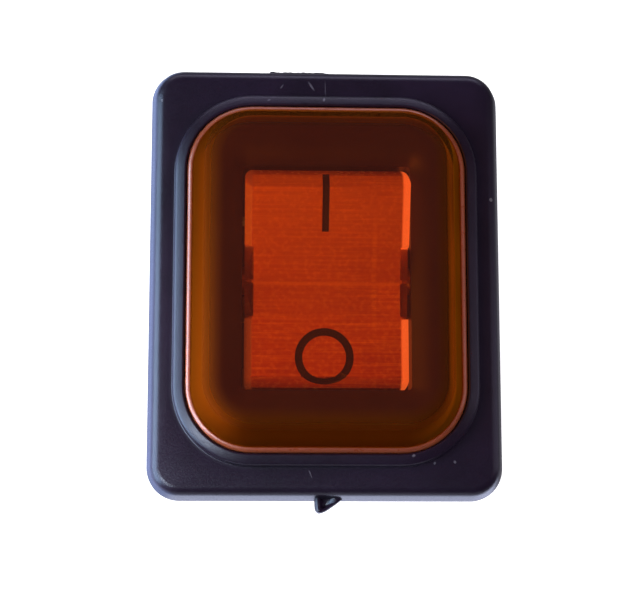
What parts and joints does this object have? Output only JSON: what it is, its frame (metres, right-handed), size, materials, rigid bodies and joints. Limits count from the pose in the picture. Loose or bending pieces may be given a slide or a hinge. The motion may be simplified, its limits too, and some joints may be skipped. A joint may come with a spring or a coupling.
{
  "type": "illuminated rocker switch",
  "caption": "Panel-mount illuminated rocker switch with a black soft frame, an amber splash dome, a tilting orange lens and push-on terminal tabs.",
  "frame": {"origin": "centre of the panel cut-out on the panel's front face, where the boot frame sits", "axes": "+Z out of the panel towards the user, +Y up towards the bar mark, +X to the right seen from the user"},
  "size_m": [0.03, 0.0383, 0.0389],
  "materials": {
    "boot_black": "soft satin",
    "dome_amber": "clear gloss",
    "nylon_black": "moulded satin",
    "rocker_orange": "translucent gloss",
    "lamp_glass": "clear",
    "lead_wire": "drawn wire",
    "resistor_coat": "lacquered",
    "brass": "stamped",
    "spring_steel": "drawn wire",
    "contact_silver": "silver",
    "tinned_brass": "tin plated"
  },
  "bodies": {
    "base": {"boot_frame": "boot_black", "boot_dome": "dome_amber", "housing": "nylon_black", "common_terminal_left": "tinned_brass", "common_terminal_right": "tinned_brass", "load_terminal_left": "tinned_brass", "load_terminal_right": "tinned_brass", "fixed_contact_left": "contact_silver", "fixed_contact_right": "contact_silver"},
    "rocker": {"rocker": "rocker_orange", "lamp_envelope": "lamp_glass", "lamp_electrodes": "lead_wire", "lamp_resistor": "resistor_coat", "plunger_spring_left": "spring_steel", "plunger_spring_right": "spring_steel"},
    "plunger_left": {"plunger_left": "brass"},
    "plunger_right": {"plunger_right": "brass"},
    "blade_left": {"contact_blade_left": "brass", "moving_contact_left": "contact_silver"},
    "blade_right": {"contact_blade_right": "brass", "moving_contact_right": "contact_silver"}
  },
  "joints": [
    {"name": "rocker_tilt", "type": "hinge", "parent": "base", "child": "rocker", "pos_m": [0, 0, 0.0009], "axis": [-1, 0, 0], "range_deg": [0, 22]},
    {"name": "plunger_slide_left", "type": "slide", "parent": "rocker", "child": "plunger_left", "axis": [0, -0.1908, 0.9816], "range_m": [0, 0.0008], "stiffness_N_per_m": 500, "springref_m": -0.003, "deforming": ["plunger_spring_left"]},
    {"name": "plunger_slide_right", "type": "slide", "parent": "rocker", "child": "plunger_right", "axis": [0, -0.1908, 0.9816], "range_m": [0, 0.0008], "stiffness_N_per_m": 500, "springref_m": -0.003, "deforming": ["plunger_spring_right"]},
    {"name": "blade_rock_left", "type": "hinge", "parent": "base", "child": "blade_left", "pos_m": [-0.0048, 0, -0.0105], "axis": [1, 0, 0], "range_deg": [0, 10]},
    {"name": "blade_rock_right", "type": "hinge", "parent": "base", "child": "blade_right", "pos_m": [0.0048, 0, -0.0105], "axis": [1, 0, 0], "range_deg": [0, 10]}
  ],
  "couplings": [
    {"joint": "blade_rock_left", "follows": "rocker_tilt", "ratio": 0.4545},
    {"joint": "blade_rock_right", "follows": "rocker_tilt", "ratio": 0.4545}
  ]
}
